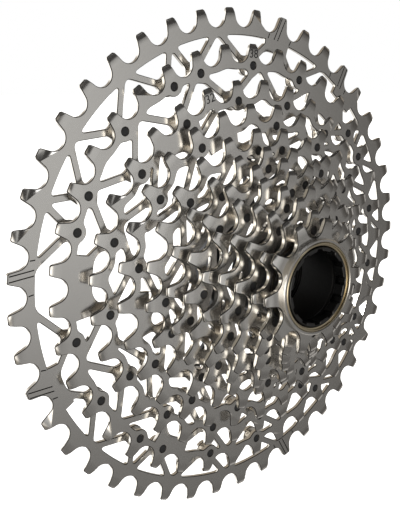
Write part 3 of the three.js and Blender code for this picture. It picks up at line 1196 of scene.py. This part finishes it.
for level in NUMBERED_LEVELS:
    sprocket = SPROCKETS[level]
    mesh = numeral_mesh(str(sprocket["teeth"]))
    angle = tooth_angle(sprocket, NUMBERED_TOOTH)
    for vertex in mesh.vertices:
        across, up, lift = vertex.co / MM
        place = on_ray(angle, sprocket["pitch"] - BELOW_PITCH + up, -across)
        vertex.co = (place.x * MM, (sprocket["face"] - NUMERAL_RISE + lift) * MM, place.y * MM)
    numeral = put(f"numeral_{sprocket['teeth']}", outward(mesh))
    dress(numeral, END)
    settle(numeral, "cluster", "sprocket_nickel")
    print(numeral.name, len(mesh.polygons), "faces")

# %% [markdown]
# ## Studio
# A pale floor, a painted room and two soft lamps. The faces of the plates all look the same
# way, so they mirror one patch of the room. That patch is a low grey band in front, which
# falls to dark at the right and towards the floor. The curved walls mirror the room behind,
# which is white on the left.

# %% Camera
CAMERA_PLACE = Vector((-185.5, -210.2, 68.2)) * MM
CAMERA_AIM = Vector((-17.48, 0, 6.25)) * MM
LENS = 54.7

camera_data = bpy.data.cameras.new("camera")
camera_data.lens = LENS
camera_data.sensor_width = 36
camera_data.clip_start = 0.01
camera = put("camera", camera_data)
camera.location = CAMERA_PLACE
camera.rotation_euler = (CAMERA_AIM - CAMERA_PLACE).to_track_quat("-Z", "Y").to_euler()
bpy.context.scene.camera = camera
print("camera at", tuple(camera.location))

# %% Floor
FLOOR_HALF = 6.0
FLOOR_GAP = 0.0005
floor_mesh = bpy.data.meshes.new("floor")
floor_z = cad_box[0][2] - FLOOR_GAP
floor_mesh.from_pydata([(x * FLOOR_HALF, y * FLOOR_HALF, floor_z)
                        for x, y in ((-1, -1), (1, -1), (1, 1), (-1, 1))], [], [(0, 1, 2, 3)])
floor = put("studio_floor", floor_mesh)
pale = Shader("pale_floor")
pale_colour = pale.blend_colours(pale.noise(3), (0.86, 0.86, 0.86), (0.9, 0.9, 0.9))
dress(floor, pale.finish(Base_Color=pale_colour, Roughness=0.9, Emission_Color=(1, 1, 1),
                         Emission_Strength=0.85))
floor.visible_glossy = False
print("floor at", round(floor_z, 4))

# %% A painted room
ROOM_BACK = (1.35, 1.33, 1.29)
ROOM_SIDE = (0.50, 0.48, 0.455)
ROOM_WARM = (0.30, 0.26, 0.21)
ROOM_FRONT = (0.60, 0.594, 0.58)
ROOM_RIGHT = (0.07, 0.064, 0.058)
ROOM_DARK = (0.05, 0.048, 0.046)
ROOM_LEFT = (2.1, 2.0, 1.84)
ROOM_SHADE = (0.36, 0.33, 0.28)


def paint_room():
    """White behind on the left, dim and warm behind on the right, a grey band in front."""
    world = bpy.data.worlds.new("room")
    bpy.context.scene.world = world
    world.use_nodes = True
    room = Nodes(world.node_tree)
    way = room.node("ShaderNodeTexCoord", output="Generated")
    split = room.node("ShaderNodeSeparateXYZ", None, {0: way})
    across, depth, height = (Wire(room, socket) for socket in split.socket.node.outputs)
    bright = room.grade(across, 0.48, 0.86, 1, 0) * room.grade(height, -0.52, -0.12, 0.2, 1)
    band = room.blend_colours(bright, ROOM_RIGHT, ROOM_FRONT)
    strip = room.grade(room.absolute(height + 0.10), 0.10, 0.40, 1, 0)
    left = room.blend_colours(strip, ROOM_SHADE, ROOM_LEFT)
    low = room.blend_colours(room.grade(across, -0.45, -0.12), left, band)
    high = room.blend_colours(room.grade(across, -0.45, -0.2), left, ROOM_DARK)
    front = room.blend_colours(room.grade(height, 0.13, 0.27), low, high)
    warm = room.grade(across, 0.35, 0.55) * room.grade(height, 0.05, 0.2)
    back = room.blend_colours(room.grade(across, -0.3, 0.05), ROOM_BACK, ROOM_SIDE)
    back = room.blend_colours(warm, back, ROOM_WARM)
    back = room.blend_colours(room.grade(height, 0.3, 0.6), back, ROOM_WARM)
    lit = room.blend_colours(room.grade(depth, -0.35, 0.05), front, back)
    seen = room.node("ShaderNodeLightPath", output="Is Camera Ray")
    colour = room.blend_colours(seen, lit, (1, 1, 1))
    background = room.node("ShaderNodeBackground", None, {"Color": colour})
    room.node("ShaderNodeOutputWorld", None, {"Surface": background})


paint_room()

# %% Lamps
def sun(name, towards, strength, spread):
    data = bpy.data.lights.new(name, "SUN")
    data.energy = strength
    data.angle = math.radians(spread)
    lamp = put(name, data)
    lamp.rotation_euler = Vector(towards).to_track_quat("-Z", "Y").to_euler()
    print(name, strength)


sun("window_behind_left", (0.8, -0.5, -0.42), 2.2, 14)
sun("ceiling", (0.05, 0.1, -1), 1.0, 50)
bpy.context.scene.view_settings.view_transform = "Standard"
